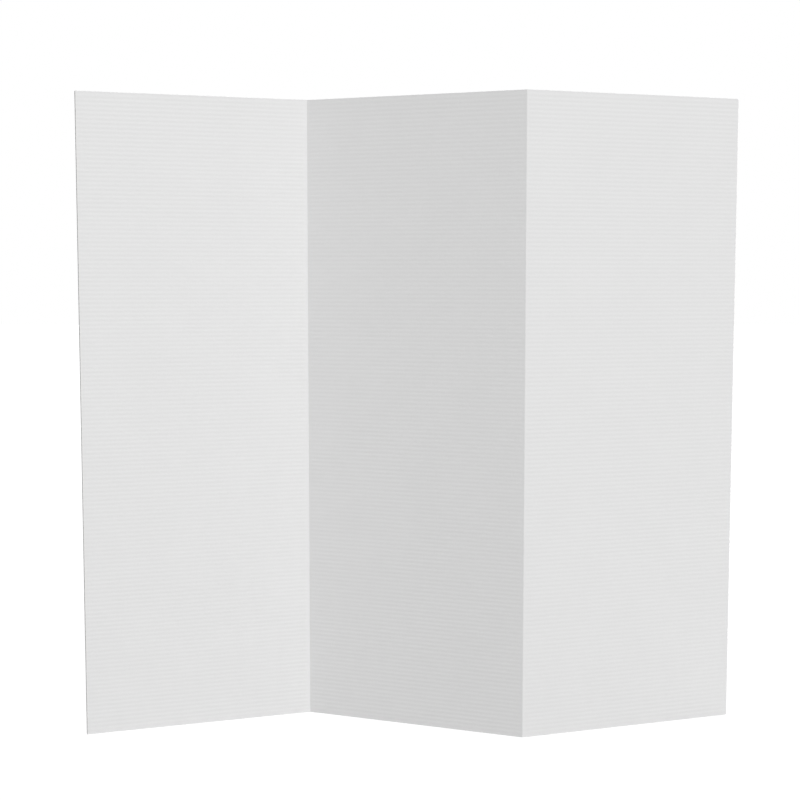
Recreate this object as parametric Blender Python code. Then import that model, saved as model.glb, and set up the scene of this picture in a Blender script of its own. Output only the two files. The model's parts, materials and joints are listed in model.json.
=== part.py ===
"""Folding room divider of white corrugated board: three equal panels and two creased folds.

The screen stands in a zigzag. It is one creased sheet of single-wall board: a front facing, a fluted medium
and a back facing, each parted here at the folds. Every paper is a thin sheet swept from its profile and
thickened to its real caliper. X runs along the spread of the screen, Y from its front to its back, Z up.
The origin is the middle of the middle panel, on the floor.
"""

import math

import bmesh
import bpy

# Driving dimensions, in metres
PANEL_HEIGHT = 1.65
PANEL_WIDTH = 0.60
BOARD_THICKNESS = 0.007
FACING_THICKNESS = 0.0004
MEDIUM_THICKNESS = 0.0003
FLUTE_PITCH = 0.011

# The film of glue between a crest and a facing, and the slit between two panels at a fold
GLUE_GAP = 0.0003
FOLD_GAP = 0.0003

# The flat of a glued crest, as a share of the flute pitch
CREST_SHARE = 0.2

# The bend of the facing round the outside of a fold, and the steps that make its arc
CREASE_RADIUS = 0.002
CREASE_STEPS = 6

# How far each fold is turned out of the flat sheet when the screen stands
FOLD_TURN = math.radians(40)

# Finish of each paper: colour, roughness
FACING_WHITE = (0.86, 0.86, 0.86, 1.0)
FACING_ROUGHNESS = 0.62
MEDIUM_GREY = (0.52, 0.52, 0.52, 1.0)
MEDIUM_ROUGHNESS = 0.9

# Worked out from the driving dimensions
HEADING = FOLD_TURN / 2
FLUTE_COUNT = round(PANEL_HEIGHT / FLUTE_PITCH)
MEDIUM_HEIGHT = BOARD_THICKNESS - 2 * FACING_THICKNESS - 2 * GLUE_GAP
END_SETBACK = FOLD_GAP / 2
FACE_SETBACK = FOLD_GAP / 2
OUTER_DEPTH = FACE_SETBACK + BOARD_THICKNESS


def clear_scene():
    """Remove everything that the scene starts with."""
    for obj in list(bpy.data.objects):
        bpy.data.objects.remove(obj, do_unlink=True)


def paper_material(name, colour, roughness):
    """A plain paper finish."""
    material = bpy.data.materials.new(name)
    material.use_nodes = True
    shader = material.node_tree.nodes["Principled BSDF"]
    shader.inputs["Base Color"].default_value = colour
    shader.inputs["Roughness"].default_value = roughness
    shader.inputs["Metallic"].default_value = 0
    material.diffuse_color = colour
    return material


def frame_at(name, location, heading):
    """An empty that carries a panel or a fold: its X runs along the board, its Y towards the back."""
    frame = bpy.data.objects.new(name, None)
    frame.location = location
    frame.rotation_euler = (0, 0, heading)
    bpy.context.scene.collection.objects.link(frame)
    return frame


def paper_sheet(name, frame, profile, sweep, thickness, material):
    """A paper of even thickness, centred on the surface that its profile leaves along the sweep."""
    mesh = bpy.data.meshes.new(name)
    sheet = bmesh.new()
    row = [sheet.verts.new(point) for point in profile]
    edges = [sheet.edges.new(pair) for pair in zip(row, row[1:])]
    swept = bmesh.ops.extrude_edge_only(sheet, edges=edges)
    moved = [item for item in swept["geom"] if isinstance(item, bmesh.types.BMVert)]
    bmesh.ops.translate(sheet, verts=moved, vec=sweep)
    bmesh.ops.recalc_face_normals(sheet, faces=sheet.faces)
    sheet.to_mesh(mesh)
    sheet.free()
    mesh.materials.append(material)
    paper = bpy.data.objects.new(name, mesh)
    paper.parent = frame
    bpy.context.scene.collection.objects.link(paper)
    caliper = paper.modifiers.new("caliper", "SOLIDIFY")
    caliper.thickness = thickness
    caliper.offset = 0
    caliper.use_even_offset = True
    return paper


def flute_profile(start, middle):
    """Points up the medium: a whole number of flutes, from the middle of one glued crest to that of another."""
    pitch = PANEL_HEIGHT / FLUTE_COUNT
    half_crest = CREST_SHARE * pitch / 2
    swing = (MEDIUM_HEIGHT - MEDIUM_THICKNESS) / 2
    points = [(start, middle - swing, 0)]
    for flute in range(FLUTE_COUNT):
        foot = flute * pitch
        points.append((start, middle - swing, foot + half_crest))
        points.append((start, middle + swing, foot + pitch / 2 - half_crest))
        points.append((start, middle + swing, foot + pitch / 2 + half_crest))
        points.append((start, middle - swing, foot + pitch - half_crest))
    points.append((start, middle - swing, PANEL_HEIGHT))
    return points


def board_panel(side, frame, start, end, front, papers):
    """One panel of board from start to end along its frame, with its front face at front."""
    back = front + BOARD_THICKNESS
    along = (end - start, 0, 0)
    for face, surface in (
        ("front", front + FACING_THICKNESS / 2),
        ("back", back - FACING_THICKNESS / 2),
    ):
        profile = [(start, surface, 0), (start, surface, PANEL_HEIGHT)]
        paper_sheet(f"{side}_{face}_facing", frame, profile, along, FACING_THICKNESS, papers["facing"])
    profile = flute_profile(start, (front + back) / 2)
    paper_sheet(f"{side}_fluted_medium", frame, profile, along, MEDIUM_THICKNESS, papers["medium"])


def crease_profile(depth, outward):
    """A paper bent round the outside of a fold: two legs in line with the panels, and the arc between them.

    The depth is that of the panels' paper, square off the faces that close on each other.
    """
    reach = depth * math.sin(HEADING) - END_SETBACK * math.cos(HEADING)
    foot = depth * math.cos(HEADING) + END_SETBACK * math.sin(HEADING)
    centre_depth = OUTER_DEPTH - CREASE_RADIUS
    centre = centre_depth / math.cos(HEADING)
    radius = depth - centre_depth
    points = [(-reach, outward * foot, 0)]
    for step in range(CREASE_STEPS + 1):
        angle = HEADING * (2 * step / CREASE_STEPS - 1)
        points.append((radius * math.sin(angle), outward * (centre + radius * math.cos(angle)), 0))
    points.append((reach, outward * foot, 0))
    return points


def creased_fold(side, frame, outward, papers):
    """The papers that run round the outside of a fold: the facing, and the medium crushed flat behind it."""
    up = (0, 0, PANEL_HEIGHT)
    profile = crease_profile(OUTER_DEPTH - FACING_THICKNESS / 2, outward)
    paper_sheet(f"{side}_fold_creased_facing", frame, profile, up, FACING_THICKNESS, papers["facing"])
    behind_facing = OUTER_DEPTH - FACING_THICKNESS - GLUE_GAP
    profile = crease_profile(behind_facing - MEDIUM_THICKNESS / 2, outward)
    paper_sheet(f"{side}_fold_crushed_medium", frame, profile, up, MEDIUM_THICKNESS, papers["medium"])


def fold_axis_place(side_sign):
    """Where a fold's axis stands: half a panel from the middle, just proud of the faces that close on each other."""
    along = side_sign * PANEL_WIDTH / 2
    proud = side_sign * (BOARD_THICKNESS / 2 + FACE_SETBACK)
    return (
        along * math.cos(HEADING) + proud * math.sin(HEADING),
        proud * math.cos(HEADING) - along * math.sin(HEADING),
        0,
    )


def room_divider():
    """The whole screen, standing."""
    papers = {
        "facing": paper_material("white_facing_paper", FACING_WHITE, FACING_ROUGHNESS),
        "medium": paper_material("grey_medium_paper", MEDIUM_GREY, MEDIUM_ROUGHNESS),
    }
    left_place = fold_axis_place(-1)
    right_place = fold_axis_place(1)

    middle_frame = frame_at("middle_panel_frame", (0, 0, 0), -HEADING)
    middle_end = PANEL_WIDTH / 2 - END_SETBACK
    board_panel("middle", middle_frame, -middle_end, middle_end, -BOARD_THICKNESS / 2, papers)

    left_frame = frame_at("left_panel_axis", left_place, HEADING)
    board_panel("left", left_frame, -PANEL_WIDTH, -END_SETBACK, FACE_SETBACK, papers)

    right_frame = frame_at("right_panel_axis", right_place, HEADING)
    board_panel("right", right_frame, END_SETBACK, PANEL_WIDTH, -FACE_SETBACK - BOARD_THICKNESS, papers)

    creased_fold("left", frame_at("left_fold_frame", left_place, 0), 1, papers)
    creased_fold("right", frame_at("right_fold_frame", right_place, 0), -1, papers)


clear_scene()
room_divider()
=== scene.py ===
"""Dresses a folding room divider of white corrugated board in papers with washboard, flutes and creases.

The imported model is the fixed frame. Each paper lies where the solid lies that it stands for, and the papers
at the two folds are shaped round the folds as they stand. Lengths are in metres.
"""

import json
import math
import random

import bmesh
import bpy
from bpy.props import FloatProperty, FloatVectorProperty, IntProperty, PointerProperty
from mathutils import Matrix, Vector, noise


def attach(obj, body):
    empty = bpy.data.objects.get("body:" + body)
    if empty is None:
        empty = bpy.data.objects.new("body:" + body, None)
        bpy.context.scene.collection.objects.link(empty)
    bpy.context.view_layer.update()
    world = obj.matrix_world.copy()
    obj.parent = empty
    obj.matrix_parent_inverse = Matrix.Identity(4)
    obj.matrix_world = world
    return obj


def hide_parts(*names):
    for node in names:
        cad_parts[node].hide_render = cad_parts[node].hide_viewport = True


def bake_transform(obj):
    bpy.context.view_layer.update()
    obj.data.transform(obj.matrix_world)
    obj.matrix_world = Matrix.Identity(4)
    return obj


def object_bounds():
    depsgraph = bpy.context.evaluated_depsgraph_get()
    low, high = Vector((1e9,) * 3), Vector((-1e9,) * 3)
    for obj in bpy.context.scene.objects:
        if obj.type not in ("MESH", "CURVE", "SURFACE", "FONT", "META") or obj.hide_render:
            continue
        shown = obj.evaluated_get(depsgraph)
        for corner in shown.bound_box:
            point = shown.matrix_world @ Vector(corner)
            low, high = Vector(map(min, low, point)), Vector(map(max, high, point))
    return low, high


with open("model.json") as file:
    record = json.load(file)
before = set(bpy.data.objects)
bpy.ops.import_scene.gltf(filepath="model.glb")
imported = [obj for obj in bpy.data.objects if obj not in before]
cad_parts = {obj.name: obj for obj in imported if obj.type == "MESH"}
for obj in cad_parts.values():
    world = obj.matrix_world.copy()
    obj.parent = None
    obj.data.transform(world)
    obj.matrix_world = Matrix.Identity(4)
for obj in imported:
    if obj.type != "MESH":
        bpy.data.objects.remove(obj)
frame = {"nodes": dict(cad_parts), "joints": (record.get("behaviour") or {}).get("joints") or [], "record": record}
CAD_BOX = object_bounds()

bl_info = {
    "name": "Corrugated Room Divider",
    "version": (1, 0, 0),
    "blender": (4, 5, 0),
    "location": "3D View > Sidebar > Divider",
    "description": "Papers, flutes and creases of a folding room divider, with its studio",
    "category": "Add Mesh",
}

MM = 0.001

HEIGHT = CAD_BOX[1].z - CAD_BOX[0].z
FACES = ("front", "back")

# Materials of the two sides of each paper and of its cut edges
FACING_FINISHES = ("white_facing_paper", "grey_liner_back", "cut_facing_edge")
MEDIUM_FINISHES = ("grey_fluting_paper",) * 3


class Panel:
    """One panel of the board, read from the frame: which way it heads, and where its papers lie in it."""

    def __init__(self, side, origin, heading):
        self.side = side
        self.body = f"{side}_panel"
        self.origin = origin
        self.turn = Matrix.Rotation(heading, 3, "Z")
        self.start, self.end, self.front, inside = self.extent(f"{side}_front_facing")
        self.back = self.extent(f"{side}_back_facing")[3]
        self.facing = inside - self.front

    def extent(self, node):
        """Lowest and highest place of a CAD node along the panel and through it."""
        vertices = frame["nodes"][node].data.vertices
        places = [self.turn.transposed() @ (vertex.co - self.origin) for vertex in vertices]
        along = [place.x for place in places]
        through = [place.y for place in places]
        return min(along), max(along), min(through), max(through)

    def place(self, along, through, height=0):
        """A point of the panel."""
        return self.origin + self.turn @ Vector((along, through, height))

    def surface(self, face):
        """Where a face of the board lies through the panel."""
        return self.front if face == "front" else self.back

    def way_out(self, face):
        """The direction that a face of the board looks in."""
        return self.turn @ Vector((0, -1 if face == "front" else 1, 0))

    def folds(self):
        """The folds at the panel's ends, each with its place along the panel."""
        ends = {"left": [("left", self.end)], "right": [("right", self.start)]}
        return ends.get(self.side, [("left", self.start), ("right", self.end)])

    def cut_ends(self):
        """Places along the panel where the board ends in a cut edge."""
        return {"left": [self.start], "right": [self.end]}.get(self.side, [])


def joint_place(name):
    """Where a fold's axis meets the floor."""
    return Vector(next(joint["pos_m"] for joint in frame["joints"] if joint["name"] == name))


def outer_heading():
    """How far the outer panels are turned off X: the middle panel is turned as far the other way."""
    mounts = frame["record"]["mounts"]
    axis = next(mount["axis"] for mount in mounts if mount["name"] == "middle_front_face")
    return math.atan2(-axis[0], -axis[1])


HEADING = outer_heading()
AXIS = {side: joint_place(f"{side}_fold") for side in ("left", "right")}

# The face on the outside of each fold
OUTSIDE = {"left": "back", "right": "front"}

# The face that the knife went in at, at the cut end of each outer panel
KNIFE_FACE = {"left": "front", "right": "back"}

PANELS = {
    "left": Panel("left", AXIS["left"], HEADING),
    "middle": Panel("middle", Vector((0, 0, 0)), -HEADING),
    "right": Panel("right", AXIS["right"], HEADING),
}

# Thickness of a facing and of the whole board
FACING = PANELS["middle"].facing
THICKNESS = PANELS["middle"].back - PANELS["middle"].front

# How far a panel stands back from a fold's axis, along the panel and through it alike
FOLD_SETBACK = -PANELS["left"].end


class DividerBoard(bpy.types.PropertyGroup):
    """Sizes of the board that the papers take."""

    flute_count: IntProperty(
        name="Flutes", description="Flutes over the height of a panel", default=150, min=1
    )
    washboard: FloatProperty(
        name="Washboard", description="How far a facing hangs in between two glued crests",
        default=0.165 * MM, unit="LENGTH", precision=5,
    )
    warp: FloatProperty(
        name="Warp", description="Slow waves in a facing, a hand's width or two long",
        default=0.08 * MM, unit="LENGTH", precision=5,
    )
    medium: FloatProperty(
        name="Medium", description="Caliper of the fluted medium",
        default=0.3 * MM, unit="LENGTH", precision=5,
    )
    crease_radius: FloatProperty(
        name="Crease radius", description="Bend of the facing round the outside of a fold",
        default=2 * MM, unit="LENGTH", precision=5,
    )
    valley_radius: FloatProperty(
        name="Valley radius", description="Bend of the facing in the valley of a fold",
        default=0.3 * MM, unit="LENGTH", precision=5,
    )
    turning: FloatProperty(
        name="Turning", description="How far to each side of a fold its outer facing turns with it",
        default=4 * MM, unit="LENGTH", precision=5,
    )
    fold_reach: FloatProperty(
        name="Fold reach", description="How far the paper of a fold runs along each panel",
        default=12 * MM, unit="LENGTH", precision=4,
    )
    crush_reach: FloatProperty(
        name="Crush reach", description="How far from a fold the flutes are crushed",
        default=7 * MM, unit="LENGTH", precision=4,
    )
    crush: FloatProperty(
        name="Crush", description="Share of its height that a flute loses at a fold",
        subtype="FACTOR", default=0.85, min=0, max=1,
    )
    crumple: FloatProperty(
        name="Crumple", description="How far the crushed flutes of a fold stand out of line",
        default=0.12 * MM, unit="LENGTH", precision=5,
    )
    knife_drag: FloatProperty(
        name="Knife drag", description="How far the knife has dragged the white ply back from a cut edge",
        default=0.9 * MM, unit="LENGTH", precision=5,
    )
    spring: FloatProperty(
        name="Spring", description="How far a flank of a flute has sprung at a cut edge",
        default=0.25 * MM, unit="LENGTH", precision=5,
    )
    facing_rows: IntProperty(
        name="Facing rows", description="Rows of a facing over one flute", default=8, min=4
    )
    medium_rows: IntProperty(
        name="Medium rows", description="Rows of the medium over one flute", default=16, min=8
    )


class DividerPaper(bpy.types.PropertyGroup):
    """Colours and finish of the papers."""

    facing_colour: FloatVectorProperty(
        name="Facing", description="White facing paper",
        subtype="COLOR", default=(0.86, 0.86, 0.86), size=3, min=0, max=1,
    )
    inner_colour: FloatVectorProperty(
        name="Inner side", description="Unbleached ply on the inner side of the facing paper",
        subtype="COLOR", default=(0.5, 0.5, 0.5), size=3, min=0, max=1,
    )
    edge_colour: FloatVectorProperty(
        name="Cut edge", description="Core of the facing paper, bare where it is cut",
        subtype="COLOR", default=(0.45, 0.45, 0.45), size=3, min=0, max=1,
    )
    medium_colour: FloatVectorProperty(
        name="Medium", description="Raw grey fluting paper",
        subtype="COLOR", default=(0.52, 0.52, 0.52), size=3, min=0, max=1,
    )
    facing_roughness: FloatProperty(
        name="Facing roughness", description="Matt finish of the facing",
        subtype="FACTOR", default=0.62, min=0, max=1,
    )
    medium_roughness: FloatProperty(
        name="Medium roughness", description="Raw finish of the medium",
        subtype="FACTOR", default=0.9, min=0, max=1,
    )


class DividerStudio(bpy.types.PropertyGroup):
    """Lights, floor and camera."""

    key: FloatProperty(name="Key", description="Soft light from the front, on the right", default=2.04, min=0)
    back_light: FloatProperty(
        name="Back light", description="Weaker soft light from behind, on the right", default=1.6, min=0
    )
    softness: FloatProperty(
        name="Softness", description="How wide each of the two lights looks from the floor",
        default=math.radians(30), unit="ROTATION",
    )
    sky: FloatProperty(name="Sky", description="Light from all round", default=0.413, min=0)
    floor_colour: FloatVectorProperty(
        name="Floor", description="How much of the light the plain floor throws back on the screen",
        subtype="COLOR", default=(0.3, 0.3, 0.3), size=3, min=0, max=1,
    )
    floor_glow: FloatProperty(
        name="Floor glow", description="How much paler the floor shows than that", default=0.79, min=0
    )
    camera_place: FloatVectorProperty(
        name="Camera", description="Where the camera stands",
        subtype="TRANSLATION", unit="LENGTH", default=(0.0428, -3.7252, 1.1918), size=3,
    )
    camera_down: FloatProperty(
        name="Down", description="How far the camera looks down",
        default=math.radians(5.004), unit="ROTATION",
    )
    camera_turn: FloatProperty(
        name="Turn", description="How far the camera looks to its left",
        default=math.radians(1.203), unit="ROTATION",
    )
    lens: FloatProperty(name="Lens", description="Focal length in millimetres", default=64.474, min=1)


# Materials

# How much the smooth facing and the raw papers shine
FACING_SHINE = 0.35
RAW_SHINE = 0.2

# Sockets of a Mix node for colours: its factor, the two colours and the result
MIX_INPUTS = (0, 6, 7)
MIX_RESULT = 2


def new_material(name):
    """A node material, with its tree and its shader."""
    material = bpy.data.materials.new(name)
    material.use_nodes = True
    return material, material.node_tree, material.node_tree.nodes["Principled BSDF"]


def add_node(tree, kind, values=None, **settings):
    """A node with its settings, and with its sockets set to values or linked to other nodes' sockets."""
    node = tree.nodes.new(kind)
    for key, value in settings.items():
        setattr(node, key, value)
    for key, value in (values or {}).items():
        if isinstance(value, bpy.types.NodeSocket):
            tree.links.new(value, node.inputs[key])
        else:
            node.inputs[key].default_value = value
    return node


def paper_noise(tree, across, up, detail, roughness=0.55):
    """Noise on the flat sheet, so many waves to a metre across and up. It stays put as the paper bends."""
    sheet = add_node(tree, "ShaderNodeUVMap", uv_map="sheet").outputs["UV"]
    scaled = add_node(tree, "ShaderNodeMapping", {"Vector": sheet, "Scale": (across, up, 1)})
    values = {"Vector": scaled.outputs["Vector"], "Scale": 1, "Detail": detail, "Roughness": roughness}
    return add_node(tree, "ShaderNodeTexNoise", values, noise_dimensions="2D").outputs["Fac"]


def spread(tree, pattern, low, high, start=0.25, end=0.75):
    """The pattern, taken from the stretch between start and end to that between low and high."""
    values = {"Value": pattern, "From Min": start, "From Max": end, "To Min": low, "To Max": high}
    return add_node(tree, "ShaderNodeMapRange", values).outputs["Result"]


def varied(tree, pattern, middle, swing):
    """A value that the pattern takes a little to each side of its middle."""
    return spread(tree, pattern, middle - swing, middle + swing)


def shaded(tree, colour, factor):
    """A colour times a factor."""
    mixed = add_node(tree, "ShaderNodeMix", data_type="RGBA", blend_type="MULTIPLY")
    share, base, shade = (mixed.inputs[number] for number in MIX_INPUTS)
    share.default_value = 1
    if isinstance(colour, bpy.types.NodeSocket):
        tree.links.new(colour, base)
    else:
        base.default_value = (*colour, 1)
    tree.links.new(factor, shade)
    return mixed.outputs[MIX_RESULT]


def relief(tree, shader, pattern, strength, depth):
    """Fine relief, too small to model, from the pattern."""
    values = {"Height": pattern, "Strength": strength, "Distance": depth}
    tree.links.new(add_node(tree, "ShaderNodeBump", values).outputs["Normal"], shader.inputs["Normal"])


def finish_paper(tree, shader, colour, roughness, shine):
    """Give a paper its colour and roughness, from patterns, and its shine."""
    tree.links.new(colour, shader.inputs["Base Color"])
    tree.links.new(roughness, shader.inputs["Roughness"])
    shader.inputs["Specular IOR Level"].default_value = shine


def make_white_facing():
    """Smooth matt white paper: soft clouding, the cloudy look of its pulp, short fibres and a faint tooth."""
    finish = bpy.context.scene.divider_paper
    material, tree, shader = new_material("white_facing_paper")
    clouds = paper_noise(tree, across=9, up=7, detail=3)
    pulp = paper_noise(tree, across=210, up=260, detail=4, roughness=0.6)
    fibres = paper_noise(tree, across=900, up=5200, detail=3, roughness=0.65)
    colour = shaded(tree, finish.facing_colour, spread(tree, clouds, low=0.994, high=1.006))
    colour = shaded(tree, colour, spread(tree, pulp, low=0.988, high=1.008))
    colour = shaded(tree, colour, spread(tree, fibres, low=0.975, high=1.012))
    roughness = varied(tree, pulp, finish.facing_roughness, swing=0.05)
    finish_paper(tree, shader, colour, roughness, FACING_SHINE)
    relief(tree, shader, fibres, strength=0.25, depth=0.02 * MM)
    return material


def make_liner_back():
    """The inner side of the facing: an unbleached ply with short fibres and a few flecks."""
    finish = bpy.context.scene.divider_paper
    material, tree, shader = new_material("grey_liner_back")
    clouds = paper_noise(tree, across=40, up=50, detail=3)
    fibres = paper_noise(tree, across=900, up=3100, detail=4, roughness=0.65)
    flecks = paper_noise(tree, across=1500, up=1500, detail=1)
    colour = shaded(tree, finish.inner_colour, spread(tree, clouds, low=0.96, high=1.04))
    colour = shaded(tree, colour, spread(tree, fibres, low=0.9, high=1.07))
    colour = shaded(tree, colour, spread(tree, flecks, low=1, high=0.78, start=0.72, end=0.8))
    roughness = spread(tree, fibres, low=0.8, high=0.92)
    finish_paper(tree, shader, colour, roughness, RAW_SHINE)
    relief(tree, shader, fibres, strength=0.4, depth=0.05 * MM)
    return material


def make_cut_edge():
    """The cut edge of a facing: its core, which the knife has torn into short fibres."""
    finish = bpy.context.scene.divider_paper
    material, tree, shader = new_material("cut_facing_edge")
    fibres = paper_noise(tree, across=2600, up=2600, detail=5, roughness=0.7)
    colour = shaded(tree, finish.edge_colour, spread(tree, fibres, low=0.8, high=1.1))
    roughness = spread(tree, fibres, low=0.85, high=0.97)
    finish_paper(tree, shader, colour, roughness, RAW_SHINE)
    relief(tree, shader, fibres, strength=0.6, depth=0.08 * MM)
    return material


def make_grey_medium():
    """Raw fluting paper: greyer and rougher than the facing, with a few dark flecks of reused pulp."""
    finish = bpy.context.scene.divider_paper
    material, tree, shader = new_material("grey_fluting_paper")
    clouds = paper_noise(tree, across=60, up=60, detail=3)
    fibres = paper_noise(tree, across=1100, up=2600, detail=4, roughness=0.7)
    flecks = paper_noise(tree, across=2100, up=2100, detail=1)
    colour = shaded(tree, finish.medium_colour, spread(tree, clouds, low=0.95, high=1.05))
    colour = shaded(tree, colour, spread(tree, fibres, low=0.86, high=1.1))
    colour = shaded(tree, colour, spread(tree, flecks, low=1, high=0.72, start=0.7, end=0.78))
    roughness = varied(tree, fibres, finish.medium_roughness, swing=0.06)
    finish_paper(tree, shader, colour, roughness, RAW_SHINE)
    relief(tree, shader, fibres, strength=0.5, depth=0.06 * MM)
    return material


MATERIAL_MAKERS = {
    "white_facing_paper": make_white_facing,
    "grey_liner_back": make_liner_back,
    "cut_facing_edge": make_cut_edge,
    "grey_fluting_paper": make_grey_medium,
}


def paper_material(name):
    """The material of that name, made the first time that it is asked for."""
    return bpy.data.materials.get(name) or MATERIAL_MAKERS[name]()


# Papers

def even_places(start, end, steps):
    """Places from start to end, with that many even steps between them."""
    return [start + (end - start) * step / steps for step in range(steps + 1)]


def fade(distance, reach):
    """0 at no distance, 1 from reach on, and smooth between."""
    share = max(0, min(1, distance / reach))
    return share * share * (3 - 2 * share)


def paper_rows(rows_per_flute):
    """Heights of the rows of a paper."""
    return even_places(0, HEIGHT, bpy.context.scene.divider_board.flute_count * rows_per_flute)


def paper_piece(name, across, up, sides_at, caliper, finishes):
    """A closed paper over a grid, whose columns and rows have places across and up the flat sheet.

    Sides_at gives the points on the two sides of the paper at a column and a row. The finishes name the
    material of each side and that of the cut edges.
    """
    used = list(dict.fromkeys(finishes))
    slots = [used.index(finish) for finish in finishes]
    cut = slots[-1]
    paper = bmesh.new()
    sheet_map = paper.loops.layers.uv.new("sheet")
    points = {}
    for column in range(len(across)):
        for row in range(len(up)):
            for side, point in enumerate(sides_at(column, row)):
                points[side, column, row] = paper.verts.new(point)

    def add_face(corners, smooth, material):
        face = paper.faces.new([points[corner] for corner in corners])
        face.smooth = smooth
        face.material_index = material
        for loop, (side, column, row) in zip(face.loops, corners):
            loop[sheet_map].uv = (across[column] + side * caliper, up[row] + side * caliper)

    last_column = len(across) - 1
    last_row = len(up) - 1
    for column in range(last_column):
        after = column + 1
        for row in range(last_row):
            above = row + 1
            for side in (0, 1):
                corners = [(side, column, row), (side, after, row)]
                corners += [(side, after, above), (side, column, above)]
                add_face(corners, True, slots[side])
    for column in range(last_column):
        after = column + 1
        for row in (0, last_row):
            add_face([(0, column, row), (0, after, row), (1, after, row), (1, column, row)], False, cut)
    for row in range(last_row):
        above = row + 1
        for column in (0, last_column):
            add_face([(0, column, row), (0, column, above), (1, column, above), (1, column, row)], False, cut)

    for edge in paper.edges:
        edge.smooth = all(face.smooth for face in edge.link_faces)
    bmesh.ops.recalc_face_normals(paper, faces=paper.faces)
    mesh = bpy.data.meshes.new(name)
    paper.to_mesh(mesh)
    paper.free()
    for finish in used:
        mesh.materials.append(paper_material(finish))
    piece = bpy.data.objects.new(name, mesh)
    bpy.context.scene.collection.objects.link(piece)
    return piece


# Facings

# Steps along a panel, round half of a fold's bend, and along the leg beyond the fold's turning width
PANEL_STEPS = 14
BEND_STEPS = 6
LEG_STEPS = 3

# The longest step along a leg within the turning width of a fold
TURNING_STEP = 0.4 * MM

# Share of the washboard that is left in the crease of a fold
WASHBOARD_AT_FOLD = 0.3

# Waves of the warp to a metre across and up, and how far apart the two faces lie in its noise
WARP_ACROSS = 3.1
WARP_UP = 2.3
WARP_FACE_STEP = 7

# How many times the reach of a fold's paper the warp takes to come in beyond it
WARP_FADE = 5

# How uneven the drag of the knife is, and how fast that changes from row to row
RAGGED_SHARE = 0.4
RAGGED_STEP = 0.7


class Station:
    """A place across a face of the screen: its spot on the floor, the way out, and how far it is from a fold.

    Trim is the way that the knife has dragged the white ply there, if it did.
    """

    def __init__(self, spot, out, from_fold):
        self.spot = spot
        self.out = out
        self.from_fold = from_fold
        self.sheet = 0
        self.trim = Vector((0, 0, 0))


def panel_stations(panel, face):
    """Stations along a panel, between the papers of the folds."""
    reach = bpy.context.scene.divider_board.fold_reach
    fold_ends = [end for _, end in panel.folds()]
    start = panel.start + reach * (panel.start in fold_ends)
    end = panel.end - reach * (panel.end in fold_ends)
    stations = [
        Station(
            panel.place(along, panel.surface(face)),
            panel.way_out(face),
            min(abs(along - fold_end) for fold_end in fold_ends),
        )
        for along in even_places(start, end, PANEL_STEPS)
    ]
    if face == KNIFE_FACE.get(panel.side):
        number, way = (0, 1) if panel.start in panel.cut_ends() else (-1, -1)
        stations[number].trim = panel.turn @ Vector((way, 0, 0))
    return stations


def turning_width(side, face):
    """How far to each side of a fold a facing is laid in fine steps: over the wedge outside, and sharply inside.
    """
    return bpy.context.scene.divider_board.turning if OUTSIDE[side] == face else FACING


def half_fold(side, face, reach):
    """Half of a fold's outline, seen from the axis with the outside of the fold ahead.

    Gives the spot, the way out and the distance from the bend of each place, from the middle of the bend
    along the leg, which ends where its foot along the panel is reach from the axis. On both faces the bend
    curves round a centre on the inner side of the fold.
    """
    board = bpy.context.scene.divider_board
    outside = OUTSIDE[side] == face
    depth = FOLD_SETBACK + (THICKNESS if outside else 0)
    radius = board.crease_radius if outside else board.valley_radius
    centre = Vector((0, (depth - radius) / math.cos(HEADING)))
    sign = 1 if outside else -1
    half = []
    for angle in even_places(0, HEADING, BEND_STEPS):
        way = Vector((math.sin(angle), math.cos(angle)))
        half.append((centre + radius * way, sign * way, 0))
    bend_end, out, _ = half[-1]
    leg_way = Vector((math.cos(HEADING), -math.sin(HEADING)))
    leg = reach + (depth - radius) * math.tan(HEADING)
    turning = min(leg, (turning_width(side, face) - bend_end.x) / leg_way.x)
    runs = even_places(0, turning, math.ceil(turning / TURNING_STEP))[1:]
    if turning < leg:
        runs += even_places(turning, leg, LEG_STEPS)[1:]
    half += [(bend_end + run * leg_way, out, run) for run in runs]
    return half


def fold_stations(side, face, reach):
    """Stations over a fold on one face, from left to right, to a reach along each panel."""
    ahead = 1 if OUTSIDE[side] == "back" else -1

    def station(place, mirror):
        spot, out, from_bend = place
        in_plan = Matrix.Diagonal((mirror, ahead))
        return Station(AXIS[side] + (in_plan @ spot).to_3d(), (in_plan @ out).to_3d(), from_bend)

    half = half_fold(side, face, reach)
    return [station(place, -1) for place in reversed(half[1:])] + [station(place, 1) for place in half]


def face_runs(face):
    """The five runs of stations over a face of the screen, each with its places on the flat sheet."""
    reach = FOLD_SETBACK + bpy.context.scene.divider_board.fold_reach
    runs = {
        "left": panel_stations(PANELS["left"], face),
        "left_fold": fold_stations("left", face, reach),
        "middle": panel_stations(PANELS["middle"], face),
        "right_fold": fold_stations("right", face, reach),
        "right": panel_stations(PANELS["right"], face),
    }
    walked = 0
    last = runs["left"][0].spot
    for run in runs.values():
        for station in run:
            walked += (station.spot - last).length
            station.sheet = walked
            last = station.spot
    return runs


def facing_sink(station, height, face):
    """How far a facing lies behind its flat face: it is held at the glued crests and hangs in between."""
    board = bpy.context.scene.divider_board
    phase = 2 * math.pi * height * board.flute_count / HEIGHT
    held = math.cos(phase) if face == "front" else -math.cos(phase)
    away = fade(station.from_fold, board.crush_reach)
    hang = board.washboard * (1 - held) / 2 * (WASHBOARD_AT_FOLD + (1 - WASHBOARD_AT_FOLD) * away)
    place = Vector((station.sheet * WARP_ACROSS, height * WARP_UP, FACES.index(face) * WARP_FACE_STEP))
    beyond = fade(station.from_fold - board.fold_reach, WARP_FADE * board.fold_reach)
    return hang + board.warp * (1 + noise.noise(place)) / 2 * beyond


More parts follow.
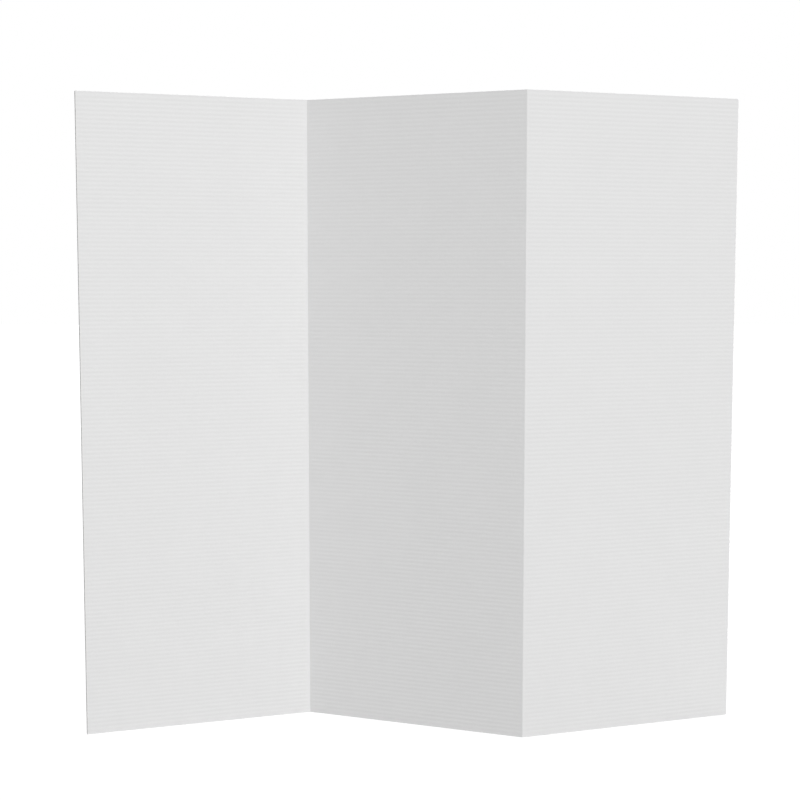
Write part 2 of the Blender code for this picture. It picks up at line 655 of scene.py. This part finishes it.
def facing_piece(name, run, face):
    """A facing paper over a run of stations."""
    board = bpy.context.scene.divider_board
    rows = paper_rows(board.facing_rows)

    def sides_at(column, row):
        station = run[column]
        sink = facing_sink(station, rows[row], face)
        surface = station.spot + Vector((0, 0, rows[row])) - station.out * sink
        ragged = 1 + RAGGED_SHARE * noise.noise(Vector((column, row * RAGGED_STEP, 0)))
        return surface + board.knife_drag * ragged * station.trim, surface - station.out * FACING

    places = [station.sheet for station in run]
    piece = paper_piece(name, places, rows, sides_at, FACING, FACING_FINISHES)
    return piece


def bend_with_fold(piece):
    """Bake the paper's placement into its mesh; it is laid as the fold stands and is not made to follow the
    panels.
    """
    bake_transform(piece)


class DIVIDER_OT_facings(bpy.types.Operator):
    """Lay the facings over both faces of the panels"""

    bl_idname = "divider.facings"
    bl_label = "Facings"

    def execute(self, context):
        for face in FACES:
            runs = face_runs(face)
            for side, panel in PANELS.items():
                piece = facing_piece(f"{side}_{face}_paper", runs[side], face)
                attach(piece, panel.body)
                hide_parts(f"{side}_{face}_facing")
        return {"FINISHED"}


class DIVIDER_OT_folds(bpy.types.Operator):
    """Run the facings over the two folds, sharp in the valley and round on the outside"""

    bl_idname = "divider.folds"
    bl_label = "Folds"

    def execute(self, context):
        for face in FACES:
            runs = face_runs(face)
            for side, outside in OUTSIDE.items():
                piece = facing_piece(f"{side}_fold_{face}_paper", runs[f"{side}_fold"], face)
                bend_with_fold(piece)
                if face == outside:
                    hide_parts(f"{side}_fold_creased_facing")
        return {"FINISHED"}


# Medium

# Steps between the ends of a panel, and places near an end, where a crease or a knife has changed the medium
MEDIUM_STEPS = 4
MEDIUM_END_PLACES = [0, 1 * MM, 2 * MM, 3.5 * MM, 5 * MM, 7 * MM, 10 * MM]

# How round the crests of a flute are, from a plain wave at 0
CREST = 1.3

# How much longer the medium is than the board that it goes into
TAKE_UP = 1.45

# How fast the crumpling of a fold changes from column to column
CRUMPLE_STEP = 1.7


def flute_wave(flutes):
    """Where the medium lies after a number of flutes: from -1 at the front facing to 1 at the back facing."""
    return -math.tanh(CREST * math.cos(2 * math.pi * flutes)) / math.tanh(CREST)


def flute_climb(flutes):
    """How fast the wave goes to the back, for each flute."""
    step = 0.001
    return (flute_wave(flutes + step) - flute_wave(flutes - step)) / (2 * step)


def flute_swing():
    """How far the middle of the medium swings to each side."""
    return THICKNESS / 2 - FACING - bpy.context.scene.divider_board.medium / 2


def crush_at(panel, along):
    """How much of their height the flutes have lost at a place along a panel, and against which face."""
    board = bpy.context.scene.divider_board
    side, end = min(panel.folds(), key=lambda fold: abs(along - fold[1]))
    return board.crush * (1 - fade(abs(along - end), board.crush_reach)), OUTSIDE[side]


def medium_sides(panel, along, height, springs):
    """The points on the two sides of the medium, at a place along a panel and a height.

    Springs holds how far each flank has sprung out of line where a knife has let it go.
    """
    board = bpy.context.scene.divider_board
    flutes = height * board.flute_count / HEIGHT
    swing = flute_swing()
    wave = flute_wave(flutes)
    loose = max((1 - fade(abs(along - end), board.crush_reach) for end in panel.cut_ends()), default=0)
    bulge = springs[int(2 * flutes)] * board.spring * loose * (1 - wave * wave)
    lost, glued = crush_at(panel, along)
    pressed = -swing if glued == "front" else swing
    through = (panel.front + panel.back) / 2 + pressed + (wave * swing + bulge - pressed) * (1 - lost)
    climb = flute_climb(flutes) * swing * (1 - lost) * board.flute_count / HEIGHT
    half = Vector((0, 1, -climb)).normalized() * board.medium / 2
    low, high = (min(max(height + step, 0), HEIGHT) for step in (-half.z, half.z))
    return panel.place(along, through - half.y, low), panel.place(along, through + half.y, high)


def medium_piece(panel):
    """The fluted medium of a panel, sprung a little at its cut end and crushed towards its folds."""
    board = bpy.context.scene.divider_board
    rows = paper_rows(board.medium_rows)
    chance = random.Random(panel.side)
    springs = [chance.uniform(-1, 1) for _ in range(2 * board.flute_count + 1)]
    last_place = MEDIUM_END_PLACES[-1]
    places = [panel.start + place for place in MEDIUM_END_PLACES]
    places += even_places(panel.start + 2 * last_place, panel.end - 2 * last_place, MEDIUM_STEPS)
    places += [panel.end - place for place in reversed(MEDIUM_END_PLACES)]

    def sides_at(column, row):
        return medium_sides(panel, places[column], rows[row], springs)

    lengths = [row * TAKE_UP for row in rows]
    piece = paper_piece(f"{panel.side}_flutes", places, lengths, sides_at, board.medium, MEDIUM_FINISHES)
    return piece


def crushed_piece(side):
    """The medium inside a fold: its flutes are crushed flat against the facing on the outside."""
    board = bpy.context.scene.divider_board
    face = OUTSIDE[side]
    run = fold_stations(side, face, FOLD_SETBACK)
    rows = paper_rows(board.medium_rows)
    width = (run[-1].spot - run[0].spot).length
    lean = -1 if face == "front" else 1

    def sides_at(column, row):
        station = run[column]
        height = rows[row]
        wave = flute_wave(height * board.flute_count / HEIGHT)
        behind = FACING + flute_swing() * (1 - board.crush) * (1 - lean * wave)
        edge = min((station.spot - run[end].spot).length for end in (0, -1))
        crumple = noise.noise(Vector((column * CRUMPLE_STEP, height / board.medium, lean)))
        behind += board.crumple * (1 + crumple) * fade(edge, width / 2)
        surface = station.spot + Vector((0, 0, height)) - station.out * behind
        return surface, surface - station.out * board.medium

    across = [(station.spot - run[0].spot).length for station in run]
    lengths = [row * TAKE_UP for row in rows]
    name = f"{side}_fold_crushed_flutes"
    piece = paper_piece(name, across, lengths, sides_at, board.medium, MEDIUM_FINISHES)
    return piece


class DIVIDER_OT_flutes(bpy.types.Operator):
    """Put the fluted medium between the facings, crushed at the folds"""

    bl_idname = "divider.flutes"
    bl_label = "Flutes"

    def execute(self, context):
        for side, panel in PANELS.items():
            piece = medium_piece(panel)
            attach(piece, panel.body)
            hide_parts(f"{side}_fluted_medium")
        for side in OUTSIDE:
            piece = crushed_piece(side)
            bend_with_fold(piece)
            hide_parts(f"{side}_fold_crushed_medium")
        return {"FINISHED"}


# Studio

# Where the two lights come from, in degrees to the right of the front and above the floor
KEY_AZIMUTH = 25
BACK_AZIMUTH = 155
ELEVATION = 35

# How far the floor reaches to each side, and how far it lies below the screen
FLOOR_REACH = 30
FLOOR_GAP = 0.2 * MM

WHITE = (1, 1, 1, 1)


def make_far_light(name, strength, azimuth):
    """A far soft light, which tells the panels apart."""
    light = bpy.data.lights.new(name, "SUN")
    light.energy = strength
    light.angle = bpy.context.scene.divider_studio.softness
    lamp = bpy.data.objects.new(name, light)
    lamp.rotation_euler = (math.radians(90 - ELEVATION), 0, math.radians(azimuth))
    bpy.context.scene.collection.objects.link(lamp)


def shows_more(tree, shining, showing):
    """One value for the light that falls on the screen, and another for what the camera sees."""
    seen = add_node(tree, "ShaderNodeLightPath").outputs["Is Camera Ray"]
    return spread(tree, seen, shining, showing, start=0, end=1)


def make_floor(studio):
    """A plain pale floor, which shows whiter than it shines on the screen."""
    grid = bmesh.new()
    bmesh.ops.create_grid(grid, x_segments=1, y_segments=1, size=FLOOR_REACH)
    mesh = bpy.data.meshes.new("floor")
    grid.to_mesh(mesh)
    grid.free()
    material, tree, shader = new_material("pale_floor")
    place = add_node(tree, "ShaderNodeTexCoord").outputs["Object"]
    clouds = add_node(tree, "ShaderNodeTexNoise", {"Vector": place, "Scale": 1.5, "Detail": 2}).outputs["Fac"]
    colour = shaded(tree, studio.floor_colour, spread(tree, clouds, low=0.995, high=1))
    tree.links.new(colour, shader.inputs["Base Color"])
    tree.links.new(shows_more(tree, 0, studio.floor_glow), shader.inputs["Emission Strength"])
    shader.inputs["Emission Color"].default_value = WHITE
    shader.inputs["Roughness"].default_value = 0.9
    shader.inputs["Specular IOR Level"].default_value = 0.1
    mesh.materials.append(material)
    floor = bpy.data.objects.new("floor", mesh)
    floor.location = (0, 0, CAD_BOX[0].z - FLOOR_GAP)
    bpy.context.scene.collection.objects.link(floor)


def make_sky(studio):
    """A white surround, which shows whiter than it shines on the screen."""
    world = bpy.data.worlds.new("studio")
    world.use_nodes = True
    bpy.context.scene.world = world
    tree = world.node_tree
    background = tree.nodes["Background"]
    background.inputs["Color"].default_value = WHITE
    tree.links.new(shows_more(tree, studio.sky, 1), background.inputs["Strength"])


def make_camera(studio):
    """The camera, where the photograph was taken from."""
    lens = bpy.data.cameras.new("camera")
    lens.lens = studio.lens
    lens.sensor_width = 36
    camera = bpy.data.objects.new("camera", lens)
    camera.location = studio.camera_place
    camera.rotation_euler = (math.pi / 2 - studio.camera_down, 0, studio.camera_turn)
    bpy.context.scene.collection.objects.link(camera)
    bpy.context.scene.camera = camera


class DIVIDER_OT_studio(bpy.types.Operator):
    """Set up the floor, the light and the camera"""

    bl_idname = "divider.studio"
    bl_label = "Studio"

    def execute(self, context):
        studio = context.scene.divider_studio
        make_floor(studio)
        make_sky(studio)
        make_far_light("key", studio.key, KEY_AZIMUTH)
        make_far_light("back_light", studio.back_light, BACK_AZIMUTH)
        make_camera(studio)
        context.scene.view_settings.view_transform = "Standard"
        return {"FINISHED"}


class DIVIDER_PT_sidebar(bpy.types.Panel):
    """Sizes, finish and makers of the room divider"""

    bl_idname = "DIVIDER_PT_sidebar"
    bl_label = "Room divider"
    bl_space_type = "VIEW_3D"
    bl_region_type = "UI"
    bl_category = "Divider"

    def draw(self, context):
        scene = context.scene
        for group in (scene.divider_board, scene.divider_paper, scene.divider_studio):
            box = self.layout.box()
            for name in group.__annotations__:
                box.prop(group, name)
        for maker in MAKERS:
            self.layout.operator(maker.bl_idname)


MAKERS = (DIVIDER_OT_studio, DIVIDER_OT_flutes, DIVIDER_OT_facings, DIVIDER_OT_folds)
CLASSES = (DividerBoard, DividerPaper, DividerStudio, *MAKERS, DIVIDER_PT_sidebar)


def register():
    """Make the classes known, and hang the settings on the scene."""
    for cls in CLASSES:
        bpy.utils.register_class(cls)
    bpy.types.Scene.divider_board = PointerProperty(type=DividerBoard)
    bpy.types.Scene.divider_paper = PointerProperty(type=DividerPaper)
    bpy.types.Scene.divider_studio = PointerProperty(type=DividerStudio)


def unregister():
    """Take the settings and the classes away again."""
    del bpy.types.Scene.divider_board
    del bpy.types.Scene.divider_paper
    del bpy.types.Scene.divider_studio
    for cls in reversed(CLASSES):
        bpy.utils.unregister_class(cls)


def main():
    """Make the whole divider and its studio."""
    register()
    bpy.ops.divider.studio()
    bpy.ops.divider.flutes()
    bpy.ops.divider.facings()
    bpy.ops.divider.folds()


if __name__ == "__main__":
    main()
